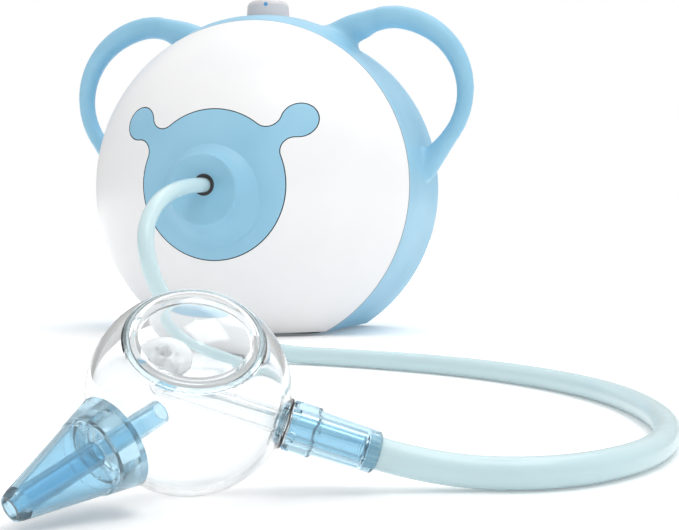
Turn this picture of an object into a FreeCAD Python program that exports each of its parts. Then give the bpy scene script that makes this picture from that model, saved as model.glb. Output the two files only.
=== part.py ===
import FreeCAD, Part
import os
from math import sin, cos, tan, acos, atan2, radians, degrees, sqrt, pi
from FreeCAD import Vector as V

# Electric nasal aspirator shaped like a bear's head: a mains suction unit with
# two loop handles for ears, a soft hose out of the nose and a clear collector
# head with a nozzle lying on the floor. Front faces -Y, millimetres, +Z up,
# origin in the middle of the base face of the suction unit.
os.makedirs("parts", exist_ok=True)

# ---- driving sizes ---------------------------------------------------------
SEAM_R = 100.0        # radius of the white front shell where it meets the rim
REAR_R = 103.8        # radius of the rim where it meets the rear cover
RIM_DEPTH = 64.0      # front seam to rear seam
DOME_R = 108.8        # radius of the ball the front shell is cut from
BACK_DEPTH = 20.0     # rear seam to the flat back
BODY_Z = 88.7         # height of the body's own axis over the floor
PAD_H = 2.0           # thickness of the rubber pad under the base
WALL = 2.8            # moulded wall of the shells
FACE_GAP = 0.55       # shadow gap round the face panel
RUN = 0.05            # radial gap of a running or push-on fit
EAR_TUBE_R = 6.8      # ear handle section
EAR_R = 48.3          # bend radius of the ear handle's outer half
HOSE_R, HOSE_BORE = 4.05, 2.5
KNOB_R, KNOB_H = 13.6, 10.5
BALL_R, BALL_WALL = 24.35, 1.6

YF = -RIM_DEPTH / 2.0          # front seam plane
YR = RIM_DEPTH / 2.0           # rear seam plane
YB = YR + BACK_DEPTH           # flat back of the rear cover
EAR_Y = 8.0                    # plane of the two ear handles and of the knob
DOME_Y = YF + sqrt(DOME_R ** 2 - SEAM_R ** 2)     # centre of the dome's ball
BASE_Z = PAD_H
CROWN_TOP = BODY_Z + 106.9      # top of the crown, under the knob
AXIS_Z = BODY_Z - 1.5          # motor, filter and hose outlet share this axis


# ---- small helpers ---------------------------------------------------------
def save(name, shape):
    """Write one piece, as its solids, to parts/NAME.step."""
    solids = shape.Solids
    out = solids[0] if len(solids) == 1 else Part.makeCompound(solids)
    if not solids or not out.isValid() or min(s.Volume for s in solids) <= 0:
        print("CHECK", name, len(solids), out.isValid())
    out.exportStep("parts/%s.step" % name)
    print("%-20s solids %2d  volume %.1f" % (name, len(solids), sum(s.Volume for s in solids)))


def wire_of(steps):
    """Closed wire in the XY plane; a step is (x, y), or ((mx, my), (x, y)) for an arc."""
    edges, here = [], steps[0]
    for step in list(steps[1:]) + [steps[0]]:
        if isinstance(step[0], tuple):
            a, m, b = [V(p[0], p[1], 0) for p in (here, step[0], step[1])]
            edges.append(Part.Arc(a, m, b).toShape())
            here = step[1]
        else:
            a, b = V(here[0], here[1], 0), V(step[0], step[1], 0)
            if (b - a).Length > 1e-6:
                edges.append(Part.LineSegment(a, b).toShape())
            here = step
    return Part.Wire(edges)


def frame(origin, axis, side=None):
    """Placement taking local Z to axis; side, where given, is where local X points."""
    z = V(axis).normalize()
    x = V(side) if side is not None else (V(1, 0, 0) if abs(z.x) < 0.9 else V(0, 1, 0))
    x = (x - z * x.dot(z)).normalize()
    y = z.cross(x)
    m = FreeCAD.Matrix(x.x, y.x, z.x, origin.x, x.y, y.y, z.y, origin.y,
                       x.z, y.z, z.z, origin.z, 0, 0, 0, 1)
    return FreeCAD.Placement(m)


def turned(steps, origin=V(0, 0, 0), axis=V(0, 0, 1), angle=360.0, side=None):
    """Revolve an outline given as (radius, height) round local Z, then place it."""
    face = Part.Face(wire_of(steps))
    face.rotate(V(0, 0, 0), V(1, 0, 0), 90)
    s = face.revolve(V(0, 0, 0), V(0, 0, 1), angle)
    s.Placement = frame(origin, axis, side)
    return s


def tube(r_out, r_in, h0, h1, origin=V(0, 0, 0), axis=V(0, 0, 1)):
    """Plain tube (or rod, r_in = 0) between two heights on an axis."""
    s = Part.makeCylinder(r_out, h1 - h0, V(0, 0, h0))
    if r_in > 0:
        s = s.cut(Part.makeCylinder(r_in, h1 - h0 + 2, V(0, 0, h0 - 1)))
    s.Placement = frame(origin, axis)
    return s


def on_y(r_out, r_in, y0, y1, x=0.0, z=AXIS_Z):
    """Tube or rod lying along Y."""
    return tube(r_out, r_in, y0, y1, V(x, 0, z), V(0, 1, 0))


def box(x0, x1, y0, y1, z0, z1):
    return Part.makeBox(x1 - x0, y1 - y0, z1 - z0, V(x0, y0, z0))


def spun_y(steps, z=BODY_Z, angle=360.0, start=0.0):
    """Revolve an outline given as (radius, y) round the Y direction at a height."""
    face = Part.Face(wire_of(steps))              # radius along X, y along Y
    s = face.revolve(V(0, 0, 0), V(0, 1, 0), angle)
    s.rotate(V(0, 0, 0), V(0, 1, 0), start)
    s.translate(V(0, 0, z))
    return s


def above(z, shape):
    bb = shape.BoundBox
    return shape.common(box(bb.XMin - 1, bb.XMax + 1, bb.YMin - 1, bb.YMax + 1, z, bb.ZMax + 1))


def joined(*shapes):
    s = shapes[0]
    for t in shapes[1:]:
        s = s.fuse(t)
    return s.removeSplitter()


def mirrored(shape):
    return shape.mirror(V(0, 0, 0), V(1, 0, 0))


def hexagon(flats, h0, h1, origin, axis):
    pts = [V(flats / 2 / cos(pi / 6) * cos(k * pi / 3), flats / 2 / cos(pi / 6) * sin(k * pi / 3), h0)
           for k in range(7)]
    s = Part.Face(Part.makePolygon(pts)).extrude(V(0, 0, h1 - h0))
    s.Placement = frame(origin, axis)
    return s


def rounded_path(points):
    """Straight runs joined by tangent arcs; returns the wire and the arc radii."""
    edges, radii, here = [], [], points[0]
    for k in range(1, len(points) - 1):
        a, p, b = points[k - 1], points[k], points[k + 1]
        u, w = (a - p), (b - p)
        short = min(u.Length, w.Length)
        u.normalize(); w.normalize()
        turn = pi - acos(max(-1, min(1, u.dot(w))))
        back = 0.45 * short
        r = back / tan(turn / 2)
        t0, t1 = p + u * back, p + w * back
        mid = p + (u + w).normalize() * (r / cos(turn / 2) - r)
        edges.append(Part.LineSegment(here, t0).toShape())
        edges.append(Part.Arc(t0, mid, t1).toShape())
        here = t1
        radii.append(round(r, 1))
    edges.append(Part.LineSegment(here, points[-1]).toShape())
    return Part.Wire(edges), radii


def swept(points, r_out, r_in=0.0):
    """Round section carried along a rounded path."""
    path, radii = rounded_path(points)
    d = (points[1] - points[0]).normalize()
    out = []
    for r in (r_out, r_in):
        if r > 0:
            ring = Part.Wire([Part.makeCircle(r, points[0], d)])
            out.append(path.makePipeShell([ring], True, False))
    s = out[0] if len(out) == 1 else out[0].cut(out[1])
    return s, path.Length, radii


# ---- the body the shells share ---------------------------------------------
def body_ball(less):
    """The dome's ball, shrunk by `less`, kept in front of the seam plane."""
    s = Part.makeSphere(DOME_R - less, V(0, DOME_Y, BODY_Z))
    return s.common(box(-200, 200, -200, YF, BASE_Z + less, 300))


def rim_cone(less, y0=None, y1=None):
    y0, y1 = YF if y0 is None else y0, YR if y1 is None else y1
    k = (REAR_R - SEAM_R) / RIM_DEPTH
    r0, r1 = SEAM_R + k * (y0 - YF) - less, SEAM_R + k * (y1 - YF) - less
    s = spun_y([(0, y0), (r0, y0), (r1, y1), (0, y1)])
    return above(BASE_Z + less, s)


POSTS = [(sx * 58.0, BODY_Z + sz * 50.0) for sx in (-1, 1) for sz in (-1, 1)]   # rim screw posts
SHELL_POSTS = [(76.6, BODY_Z), (-76.6, BODY_Z), (0, BODY_Z + 76.6), (0, BODY_Z - 74.0)]
CHASSIS_Y = -30.0                                   # front face of the chassis plate
CHASSIS_T = 3.0

# Face panel outline: a round face with two small ears joined by hollow fillets.
FACE_R, FACE_Z = 42.1, BODY_Z - 1.0
EARLET_R, EARLET_X, EARLET_Z, NECK_R = 9.4, 47.6, FACE_Z + 35.9, 8.0


def face_outline(grow):
    """Closed wire in the XZ plane round the face panel, grown outwards evenly."""
    R, e, q = FACE_R + grow, EARLET_R + grow, NECK_R - grow
    d = sqrt(EARLET_X ** 2 + (EARLET_Z - FACE_Z) ** 2)
    along = ((R + q) ** 2 - (e + q) ** 2 + d * d) / (2 * d)
    off = sqrt((R + q) ** 2 - along ** 2)
    phi = atan2(EARLET_Z - FACE_Z, EARLET_X)
    ear_at = V(EARLET_X, 0, EARLET_Z - FACE_Z)
    marks = {}
    for s in (-1, 1):       # -1: the neck under the ear, +1: the neck over it
        c = V(along * cos(phi) - s * off * sin(phi), 0, along * sin(phi) + s * off * cos(phi))
        to_face = c * (R / (R + q))
        to_ear = ear_at + (c - ear_at) * (e / (e + q))
        marks[s] = (to_face, c + (to_face + to_ear - c * 2).normalize() * q, to_ear)
    far = ear_at + V(cos(phi), 0, sin(phi)) * e
    flip = lambda p: V(-p.x, 0, p.z)
    lo, hi = marks[-1], marks[1]
    arcs = [(lo[0], lo[1], lo[2]), (lo[2], far, hi[2]), (hi[2], hi[1], hi[0]),
            (hi[0], V(0, 0, R), flip(hi[0])), (flip(hi[0]), flip(hi[1]), flip(hi[2])),
            (flip(hi[2]), flip(far), flip(lo[2])), (flip(lo[2]), flip(lo[1]), flip(lo[0])),
            (flip(lo[0]), V(0, 0, -R), lo[0])]
    w = Part.Wire([Part.Arc(a, m, b).toShape() for a, m, b in arcs])
    w.translate(V(0, 0, FACE_Z))
    return w


def face_prism(grow):
    f = Part.Face(face_outline(grow))
    f.translate(V(0, -150, 0))
    return f.extrude(V(0, 110, 0))


# ---- 1 front shell: glossy white dome --------------------------------------
shell = body_ball(0).cut(body_ball(WALL).fuse(box(-90, 90, YF - 1, YF + 1, BASE_Z + WALL, BODY_Z)
                         .common(rim_cone(WALL, YF - 1, YF + 1))))
shell = shell.cut(face_prism(FACE_GAP))
for x, z in SHELL_POSTS:
    post = on_y(4.5, 0, -90, CHASSIS_Y, x, z).common(body_ball(WALL * 0.5))
    shell = shell.fuse(post)
for x, z in SHELL_POSTS:
    shell = shell.cut(on_y(1.5, 0, CHASSIS_Y - 14, CHASSIS_Y + 1, x, z))
save("front_shell", shell.removeSplitter())

# ---- 2 face panel with the nose --------------------------------------------
NOSE_Z, NOSE_Y = AXIS_Z - 2.9, -107.0          # nose axis height, front edge of the nose
NOSE_BASE_R, NOSE_RIM_R = 31.5, 19.5
SEAL_R, SEAL_Y = 6.0, NOSE_Y + 2.6
skin = body_ball(0).cut(body_ball(WALL)).common(face_prism(0))
backing = body_ball(WALL).cut(body_ball(WALL + 1.6)).common(on_y(FACE_R + 3.4, 0, -150, -40, 0, FACE_Z))
nose = spun_y([(0, -84), (NOSE_BASE_R + 1, -84), (NOSE_BASE_R, -92.6),
               ((NOSE_RIM_R + 4.2, -98.2), (NOSE_RIM_R + 1.0, NOSE_Y + 1.4)),
               ((NOSE_RIM_R + 0.4, NOSE_Y + 0.3), (NOSE_RIM_R - 1.2, NOSE_Y)), (0, NOSE_Y)], NOSE_Z)
hollow = spun_y([(0, -80), (NOSE_BASE_R - 3, -80), (NOSE_BASE_R - 3.6, -92),
                 ((NOSE_RIM_R + 1.0, -97.2), (NOSE_RIM_R - 2.2, -101.2)), (0, -101.2)], NOSE_Z)
panel = skin.fuse(backing).fuse(nose.cut(body_ball(WALL + 1.6)))
panel = panel.cut(hollow)
panel = panel.fuse(on_y(SEAL_R + 3.2, 0, SEAL_Y, -92.0))
dish = Part.makeLoft([Part.Wire([Part.makeCircle(NOSE_RIM_R - 1.6, V(0, NOSE_Y - 0.01, NOSE_Z), V(0, 1, 0))]),
                      Part.Wire([Part.makeCircle(SEAL_R + 0.8, V(0, SEAL_Y, AXIS_Z), V(0, 1, 0))])], True)
panel = panel.cut(dish).cut(on_y(SEAL_R, 0, -120, -80))
save("face_panel", panel.removeSplitter())

# ---- 3, 4 nose seal and the nipple the hose pushes onto --------------------
FLANGE_Y = -92.0
save("nose_seal", turned([(HOSE_R + RUN, SEAL_Y - 0.5), (SEAL_R - 0.3, SEAL_Y - 0.5), (SEAL_R, SEAL_Y - 0.2),
                          (SEAL_R, FLANGE_Y), (HOSE_R + RUN, FLANGE_Y)], V(0, 0, AXIS_Z), V(0, 1, 0)))
nipple = joined(on_y(HOSE_BORE, 0, FLANGE_Y - 9, FLANGE_Y), on_y(11, 0, FLANGE_Y, FLANGE_Y + 2),
                on_y(5.0, 0, FLANGE_Y + 2, FLANGE_Y + 14))
save("inlet_nipple", nipple.cut(on_y(1.7, 0, FLANGE_Y - 10, FLANGE_Y + 20)))

# ---- 5 ear handles, rim housing and its crown ------------------------------
EAR_C = V(77.0, EAR_Y, BODY_Z + 58.6)
ear_pts = [V(30, EAR_Y, BODY_Z + 98.5), V(41, EAR_Y, BODY_Z + 104.3), V(53, EAR_Y, CROWN_TOP)]
for deg in (84, 62, 40, 20, 0, -16, -30):
    ear_pts.append(EAR_C + V(cos(radians(deg)), 0, sin(radians(deg))) * EAR_R)
down = V(-sin(radians(32)), 0, -cos(radians(32)))
ear_pts += [ear_pts[-1] + down * 16, ear_pts[-1] + down * 33]
curve = Part.BSplineCurve()
curve.interpolate(ear_pts)
spine = Part.Wire([curve.toShape()])
tangent = curve.tangent(curve.FirstParameter)[0]
ear = spine.makePipeShell([Part.Wire([Part.makeCircle(EAR_TUBE_R, ear_pts[0], tangent)])], True, False)
crown = spun_y([(98.5, YF + 1.5), (SEAM_R + 0.3, YF + 1.5), ((SEAM_R + 2.2, YF + 9), (106.4, YF + 21)),
                ((107.0, YF + 40), (106.0, YR - 6)), (REAR_R, YR), (98.5, YR)], BODY_Z, 54.0, -27.0 - 90.0)
pedestal = tube(KNOB_R + 0.8, 0, BODY_Z + 99, CROWN_TOP, V(0, EAR_Y, 0))
ear = ear.cut(rim_cone(0)).cut(crown).cut(pedestal)
save("ear_handles", Part.makeCompound([max(ear.Solids, key=lambda t: t.Volume),
                                       max(mirrored(ear).Solids, key=lambda t: t.Volume)]))
rim = rim_cone(0).fuse(crown).fuse(pedestal)
rim = rim.cut(rim_cone(WALL, YF - 0.01, YR + 0.01))
lip = spun_y([(93.2, YF - 3), (95.2, YF - 3), (95.2, YF), (98.5, YF), (98.5, YF + 3), (93.2, YF + 3)])
rim = rim.fuse(above(BASE_Z + WALL + 0.4, lip).common(
    rim_cone(0.6, YF - 3.5, YF + 3.5)))
for x, z in POSTS:
    rim = rim.fuse(on_y(5.0, 0, CHASSIS_Y + CHASSIS_T, YB - WALL - 4, x, z))
    side = V(x, 0, z - BODY_Z).normalize()
    rib = Part.makeBox(24.0, YR - 4 - (CHASSIS_Y + CHASSIS_T), 3.0, V(76.0, 0, -1.5))
    rib.Placement = FreeCAD.Placement(V(0, CHASSIS_Y + CHASSIS_T, BODY_Z),
                                      FreeCAD.Rotation(V(0, 1, 0), -degrees(atan2(side.z, side.x))))
    rim = rim.fuse(rib.common(rim_cone(1.0)))
BOARD_Z, BOARD_X, BOARD_Y = 16.0, 42.0, (-24.0, 26.0)
BOARD_POSTS = [(sx * (BOARD_X - 5), y) for sx in (-1, 1) for y in (BOARD_Y[0] + 5, BOARD_Y[1] - 5)]
for x, y in BOARD_POSTS:
    rim = rim.fuse(Part.makeCylinder(3.0, BOARD_Z - BASE_Z - 1, V(x, y, BASE_Z + 1)))
    rim = rim.cut(Part.makeCylinder(1.2, 8, V(x, y, BOARD_Z - 7.5)))
PAD_X, PAD_Y, PAD_CORNER = 41.0, 27.0, 9.0
PAD_PEGS = [(sx * (PAD_X - 9), sy * (PAD_Y - 8)) for sx in (-1, 1) for sy in (-1, 1)]
for x, y in PAD_PEGS:
    rim = rim.cut(Part.makeCylinder(3.2, 10, V(x, y, 0)))
rim = rim.cut(tube(4.5, 0, BODY_Z + 90, BODY_Z + 110, V(0, EAR_Y, 0)))
for x, z in POSTS:
    rim = rim.cut(on_y(1.7, 0, YB - WALL - 22, YB, x, z)).cut(on_y(1.5, 0, -40, CHASSIS_Y + 16, x, z))
save("rim_housing", rim.removeSplitter())

# ---- 6 rear cover ----------------------------------------------------------
CORNER = 16.0
INLET_Z, INLET_W, INLET_H = 30.0, 24.0, 14.0


def back_solid(less):
    c = CORNER - less
    r = REAR_R + 0.2 - less
    yb = YB - less
    mid = (r - c * (1 - sin(pi / 4)), yb - c * (1 - sin(pi / 4)))
    s = spun_y([(0, YR), (r - 0.2, YR), (r, yb - c), (mid, (r - c, yb)), (0, yb)])
    return above(BASE_Z + less, s)


rear = back_solid(0).cut(back_solid(WALL))
rear_lip = spun_y([(96.0, YR - 3.5), (100.1, YR - 3.5), (100.3, YR), (102.0, YR), (102.0, YR + 3), (96.0, YR + 3)])
rear_lip = above(BASE_Z + WALL + 0.4, rear_lip)
rear = rear.fuse(rear_lip.cut(spun_y([(0, YR - 5), (98.0, YR - 5), (98.0, YR + 5), (0, YR + 5)])))
for x, z in POSTS:
    rear = rear.fuse(on_y(6.8, 0, YB - WALL - 4, YB - 1, x, z))
for x, z in POSTS:
    rear = rear.cut(on_y(4.0, 0, YB - 3.0, YB + 1, x, z)).cut(on_y(2.0, 0, YB - 10, YB + 1, x, z))
for k in range(-6, 7):              # exhaust slots, longest in the middle
    half = 17.0 - abs(k) * 1.3
    slot = box(k * 7.0 - 1.6, k * 7.0 + 1.6, YB - 8, YB + 1, BODY_Z + 52 - half, BODY_Z + 52 + half)
    slot = slot.fuse(on_y(1.6, 0, YB - 8, YB + 1, k * 7.0, BODY_Z + 52 - half))
    slot = slot.fuse(on_y(1.6, 0, YB - 8, YB + 1, k * 7.0, BODY_Z + 52 + half))
    rear = rear.cut(slot)
rear = rear.cut(box(-INLET_W / 2, INLET_W / 2, YB - 9, YB + 1, INLET_Z - INLET_H / 2, INLET_Z + INLET_H / 2))
save("rear_cover", rear.removeSplitter())

# ---- 7 rubber base pad, 8 rear cover screws --------------------------------
pad = box(-PAD_X, PAD_X, -PAD_Y, PAD_Y, 0, BASE_Z)
pad = pad.makeFillet(PAD_CORNER, [e for e in pad.Edges if abs(e.Length - BASE_Z) < 1e-6])
for x, y in PAD_PEGS:
    pad = pad.fuse(tube(3.2, 0, BASE_Z - 0.5, BASE_Z + WALL + 1.2, V(x, y, 0)))
save("base_pad", pad.removeSplitter())


def screw(x, z, y_head, into, r, head_r, head_h, length):
    """Pan-head screw along Y; `into` is the way the shank points (+1 or -1)."""
    s = turned([(0, -head_h), (head_r - 0.5, -head_h), (head_r, -head_h + 0.6), (head_r, 0), (r, 0),
                (r, length - 1), (r * 0.4, length), (0, length)], V(x, y_head, z), V(0, into, 0))
    slot = box(-head_r * 0.62, head_r * 0.62, -0.4, 0.4, -head_h - 1, -head_h + 0.9)
    cross = slot.fuse(box(-0.4, 0.4, -head_r * 0.62, head_r * 0.62, -head_h - 1, -head_h + 0.9))
    cross.Placement = frame(V(x, y_head, z), V(0, into, 0))
    return s.cut(cross)


save("cover_screws", Part.makeCompound([screw(x, z, YB - 3.0, -1, 1.7, 3.6, 2.3, 18.0) for x, z in POSTS]))

# ---- 9 chassis plate and its screws ----------------------------------------
plate = above(BASE_Z + 6, on_y(90.0, 0, CHASSIS_Y, CHASSIS_Y + CHASSIS_T, 0, BODY_Z))
plate = plate.cut(on_y(16.2, 0, CHASSIS_Y - 1, CHASSIS_Y + 9))
for ang in (45, 135, 225, 315):      # four windows let the air and the wires through
    win = spun_y([(50, -60), (84, -60), (84, 0), (50, 0)], BODY_Z, 34.0, -ang + 22.5 - 17.0)
    plate = plate.cut(win)
for x, z in POSTS + SHELL_POSTS:
    plate = plate.cut(on_y(1.5, 0, CHASSIS_Y - 1, CHASSIS_Y + 9, x, z))
save("chassis_plate", plate.removeSplitter())
save("chassis_screws", Part.makeCompound([screw(x, z, CHASSIS_Y, 1, 1.5, 3.1, 2.2, 14.0) for x, z in POSTS]))
save("shell_screws", Part.makeCompound([screw(x, z, CHASSIS_Y + CHASSIS_T, -1, 1.5, 3.1, 2.2, 14.0)
                                        for x, z in SHELL_POSTS]))

# ---- fan and motor, all on one axis ----------------------------------------
FAN_Y = CHASSIS_Y + CHASSIS_T + 2.0     # front of the fan housing, on its rubber ring
FAN_R, FAN_DEEP = 46.0, 20.0
SNOUT_R, SNOUT_BORE = 14.0, 12.0
SHAFT_R = 3.0
IMP_R = 40.0
BRG_R, BRG_W = 9.5, 6.0
save("front_mount", on_y(38, 30, CHASSIS_Y + CHASSIS_T, FAN_Y))
housing = spun_y([(SNOUT_BORE, FAN_Y - 9), (SNOUT_R, FAN_Y - 9), (SNOUT_R, FAN_Y), (FAN_R - 3, FAN_Y),
                  ((FAN_R - 0.9, FAN_Y + 0.9), (FAN_R, FAN_Y + 3)), (FAN_R, FAN_Y + FAN_DEEP),
                  (FAN_R - 1.6, FAN_Y + FAN_DEEP), (FAN_R - 1.6, FAN_Y + 3.2),
                  ((FAN_R - 2.1, FAN_Y + 2.1), (FAN_R - 3.2, FAN_Y + 1.6)), (SNOUT_BORE, FAN_Y + 1.6)], AXIS_Z)
save("fan_housing", housing)
DIFF_Y = FAN_Y + FAN_DEEP - 3.0         # diffuser plate closes the housing
diffuser = on_y(FAN_R - 1.6, 0, DIFF_Y, DIFF_Y + 3.0).fuse(on_y(BRG_R + 2.5, 0, DIFF_Y, DIFF_Y + BRG_W + 1.0))
diffuser = diffuser.cut(on_y(BRG_R, 0, DIFF_Y + 1.0, DIFF_Y + 20)).cut(on_y(4.5, 0, DIFF_Y - 1, DIFF_Y + 9))
for k in range(10):                     # air passes back over the motor here
    a = radians(36 * k)
    hole = on_y(4.2, 0, DIFF_Y - 1, DIFF_Y + 4, cos(a) * 25.0, AXIS_Z + sin(a) * 25.0)
    diffuser = diffuser.cut(hole)
save("diffuser_plate", diffuser)

IMP_Y0, IMP_Y1 = FAN_Y + 3.0, DIFF_Y - 1.5
imp = on_y(IMP_R, 14.5, IMP_Y0, IMP_Y0 + 1.2).fuse(on_y(IMP_R, 0, IMP_Y1 - 1.2, IMP_Y1))
imp = imp.fuse(on_y(8.0, 0, IMP_Y0, IMP_Y1))
for k in range(9):                      # blades swept back against the turn
    a0 = radians(40 * k)
    p, q, m = [V(r * cos(a0 + t), 0, r * sin(a0 + t)) for r, t in ((9.5, 0.0), (IMP_R - 0.2, 1.0), (24, 0.34))]
    up = V(0, 1.0, 0)
    arc = Part.Arc(p, m, q).toShape()
    blade = arc.extrude(V(0, IMP_Y1 - IMP_Y0 - 1.2, 0))
    blade = blade.makeOffsetShape(1.0, 0.01, fill=True)
    blade.translate(V(0, IMP_Y0 + 0.6, AXIS_Z))
    imp = imp.fuse(blade)
imp = imp.common(on_y(IMP_R, 0, IMP_Y0, IMP_Y1)).cut(on_y(SHAFT_R, 0, IMP_Y0 - 5, IMP_Y1 + 5))
save("impeller", imp.removeSplitter())
nut = hexagon(10.0, 0, 4.0, V(0, IMP_Y0 - 4.0, AXIS_Z), V(0, 1, 0))
save("impeller_nut", nut.cut(on_y(SHAFT_R, 0, IMP_Y0 - 9, IMP_Y0 + 5)))

FRAME_Y0, FRAME_Y1 = FAN_Y + FAN_DEEP, FAN_Y + FAN_DEEP + 48.0
CORE_Y0, CORE_Y1 = FRAME_Y0 + 11.0, FRAME_Y0 + 28.0
CORE_R = 17.0
save("motor_shaft", turned([(0, IMP_Y0 - 5), (SHAFT_R - 0.5, IMP_Y0 - 5), (SHAFT_R, IMP_Y0 - 4.5),
                            (SHAFT_R, FRAME_Y1 + 1.0), (0, FRAME_Y1 + 1.0)], V(0, 0, AXIS_Z), V(0, 1, 0)))
core = on_y(CORE_R, SHAFT_R, CORE_Y0, CORE_Y1)
for k in range(12):
    a = radians(30 * k)
    core = core.cut(on_y(2.0, 0, CORE_Y0 - 1, CORE_Y1 + 1, cos(a) * 13.2, AXIS_Z + sin(a) * 13.2))
    slit = box(13, 18, CORE_Y0 - 1, CORE_Y1 + 1, -0.6, 0.6)
    slit.rotate(V(0, 0, 0), V(0, 1, 0), 30 * k)
    slit.translate(V(0, 0, AXIS_Z))
    core = core.cut(slit)
save("armature_core", core)
wind = [spun_y([(4.5, y0), (14.2, y0), (15.0, ym), (14.2, y1), (4.5, y1)], AXIS_Z)
        for y0, ym, y1 in ((CORE_Y0 - 4.5, CORE_Y0 - 1.5, CORE_Y0), (CORE_Y1, CORE_Y1 + 1.2, CORE_Y1 + 3.2))]
wind += [on_y(1.9, 0, CORE_Y0, CORE_Y1, cos(radians(30 * k)) * 13.2, AXIS_Z + sin(radians(30 * k)) * 13.2)
         for k in range(12)]
save("armature_windings", joined(*wind))
COM_Y0, COM_Y1, COM_R = CORE_Y1 + 4.6, CORE_Y1 + 10.6, 8.5
com = on_y(COM_R, SHAFT_R, COM_Y0, COM_Y1)
for k in range(12):
    slit = box(6.8, 9, COM_Y0 - 1, COM_Y1 + 1, -0.2, 0.2)
    slit.rotate(V(0, 0, 0), V(0, 1, 0), 30 * k + 15)
    slit.translate(V(0, 0, AXIS_Z))
    com = com.cut(slit)
save("commutator", com)


def bearing(y0):
    """Shielded ball bearing drawn as one ring with a groove on each face."""
    r, R = SHAFT_R + RUN, BRG_R
    return spun_y([(r, y0), (r + 1.6, y0), (r + 1.6, y0 + 0.5), (R - 1.8, y0 + 0.5), (R - 1.8, y0), (R, y0),
                   (R, y0 + BRG_W), (R - 1.8, y0 + BRG_W), (R - 1.8, y0 + BRG_W - 0.5),
                   (r + 1.6, y0 + BRG_W - 0.5), (r + 1.6, y0 + BRG_W), (r, y0 + BRG_W)], AXIS_Z)


save("motor_bearings", Part.makeCompound([bearing(DIFF_Y + 1.0), bearing(FRAME_Y1 - 0.5 - BRG_W)]))
MF_R = 34.5
mf = on_y(MF_R, MF_R - 1.6, FRAME_Y0, FRAME_Y1).fuse(on_y(MF_R, 0, FRAME_Y1 - 2.0, FRAME_Y1))
mf = mf.fuse(on_y(FAN_R - 4, MF_R - 1.6, FRAME_Y0, FRAME_Y0 + 1.6))
mf = mf.fuse(on_y(BRG_R + 2.2, 0, FRAME_Y1 - 0.5 - BRG_W, FRAME_Y1))
mf = mf.cut(on_y(BRG_R, 0, FRAME_Y1 - 0.5 - BRG_W - 1, FRAME_Y1 - 0.5)).cut(on_y(5.0, 0, FRAME_Y1 - 5, FRAME_Y1 + 1))
for ang in (45, 135, 225, 315):
    win = box(20, 50, CORE_Y1 + 3, FRAME_Y1 - 5, -9, 9)
    win.rotate(V(0, 0, 0), V(0, 1, 0), ang)
    win.translate(V(0, 0, AXIS_Z))
    mf = mf.cut(win)
    vent = on_y(4.5, 0, FRAME_Y1 - 5, FRAME_Y1 + 1, cos(radians(ang)) * 22, AXIS_Z + sin(radians(ang)) * 22)
    mf = mf.cut(vent)
HOLD = (4.0, 3.2)                # half width and half height of a brush holder
mf = mf.cut(box(-50, 50, COM_Y0 - 0.6, COM_Y0 - 0.6 + 2 * HOLD[0], AXIS_Z - HOLD[1], AXIS_Z + HOLD[1]))
save("motor_frame", mf.removeSplitter())

stator = on_y(MF_R - 1.6, 26.5, CORE_Y0, CORE_Y1)
for sgn in (-1, 1):
    pole = box(-9, 9, CORE_Y0, CORE_Y1, sgn * 22 - 6 + AXIS_Z, sgn * 22 + 6 + AXIS_Z)
    shoe = spun_y([(CORE_R + 0.6, CORE_Y0), (CORE_R + 3.0, CORE_Y0), (CORE_R + 3.0, CORE_Y1),
                   (CORE_R + 0.6, CORE_Y1)], AXIS_Z, 110.0, -55.0 - sgn * 90.0)
    stator = stator.fuse(pole.cut(on_y(CORE_R + 0.6, 0, CORE_Y0 - 1, CORE_Y1 + 1))).fuse(shoe)
stator = stator.common(on_y(MF_R - 1.6, CORE_R + 0.6, CORE_Y0, CORE_Y1))
save("stator_core", stator.removeSplitter())
coils = []
for sgn in (-1, 1):
    z0, z1 = sorted((sgn * 21.5, sgn * 26.0))
    c = box(-15.5, 15.5, CORE_Y0 - 5, CORE_Y1 + 4, AXIS_Z + z0, AXIS_Z + z1)
    c = c.cut(box(-9, 9, CORE_Y0, CORE_Y1, AXIS_Z + z0 - 1, AXIS_Z + z1 + 1))
    c = c.common(on_y(26.4, CORE_R + 3.05, CORE_Y0 - 9, CORE_Y1 + 9)
                 .fuse(on_y(MF_R - 2.2, CORE_R + 3.05, CORE_Y0 - 9, CORE_Y0))
                 .fuse(on_y(MF_R - 2.2, CORE_R + 3.05, CORE_Y1, CORE_Y1 + 9)))
    coils.append(c)
save("field_coils", Part.makeCompound([s for c in coils for s in c.removeSplitter().Solids]))
holders, brushes = [], []
for sgn in (-1, 1):
    x0, x1 = sorted((sgn * (COM_R + 2.0), sgn * (MF_R + 1.0)))
    y0 = COM_Y0 - 0.6
    h = box(x0, x1, y0, y0 + 2 * HOLD[0], AXIS_Z - HOLD[1], AXIS_Z + HOLD[1])
    b0, b1 = sorted((sgn * (COM_R + 0.35), sgn * (COM_R + 15.0)))
    b = box(b0, b1, y0 + 1.5, y0 + 2 * HOLD[0] - 1.5, AXIS_Z - 2.0, AXIS_Z + 2.0)
    i0, i1 = sorted((sgn * (COM_R + 1.0), sgn * (MF_R - 1.5)))
    h = h.cut(box(i0, i1, y0 + 1.5, y0 + 2 * HOLD[0] - 1.5, AXIS_Z - 2.0, AXIS_Z + 2.0))
    holders.append(h)
    brushes.append(b)
save("brush_holders", Part.makeCompound(holders))
save("carbon_brushes", Part.makeCompound(brushes))
save("rear_mount", on_y(17, 12.5, FRAME_Y1, YB - WALL))

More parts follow.
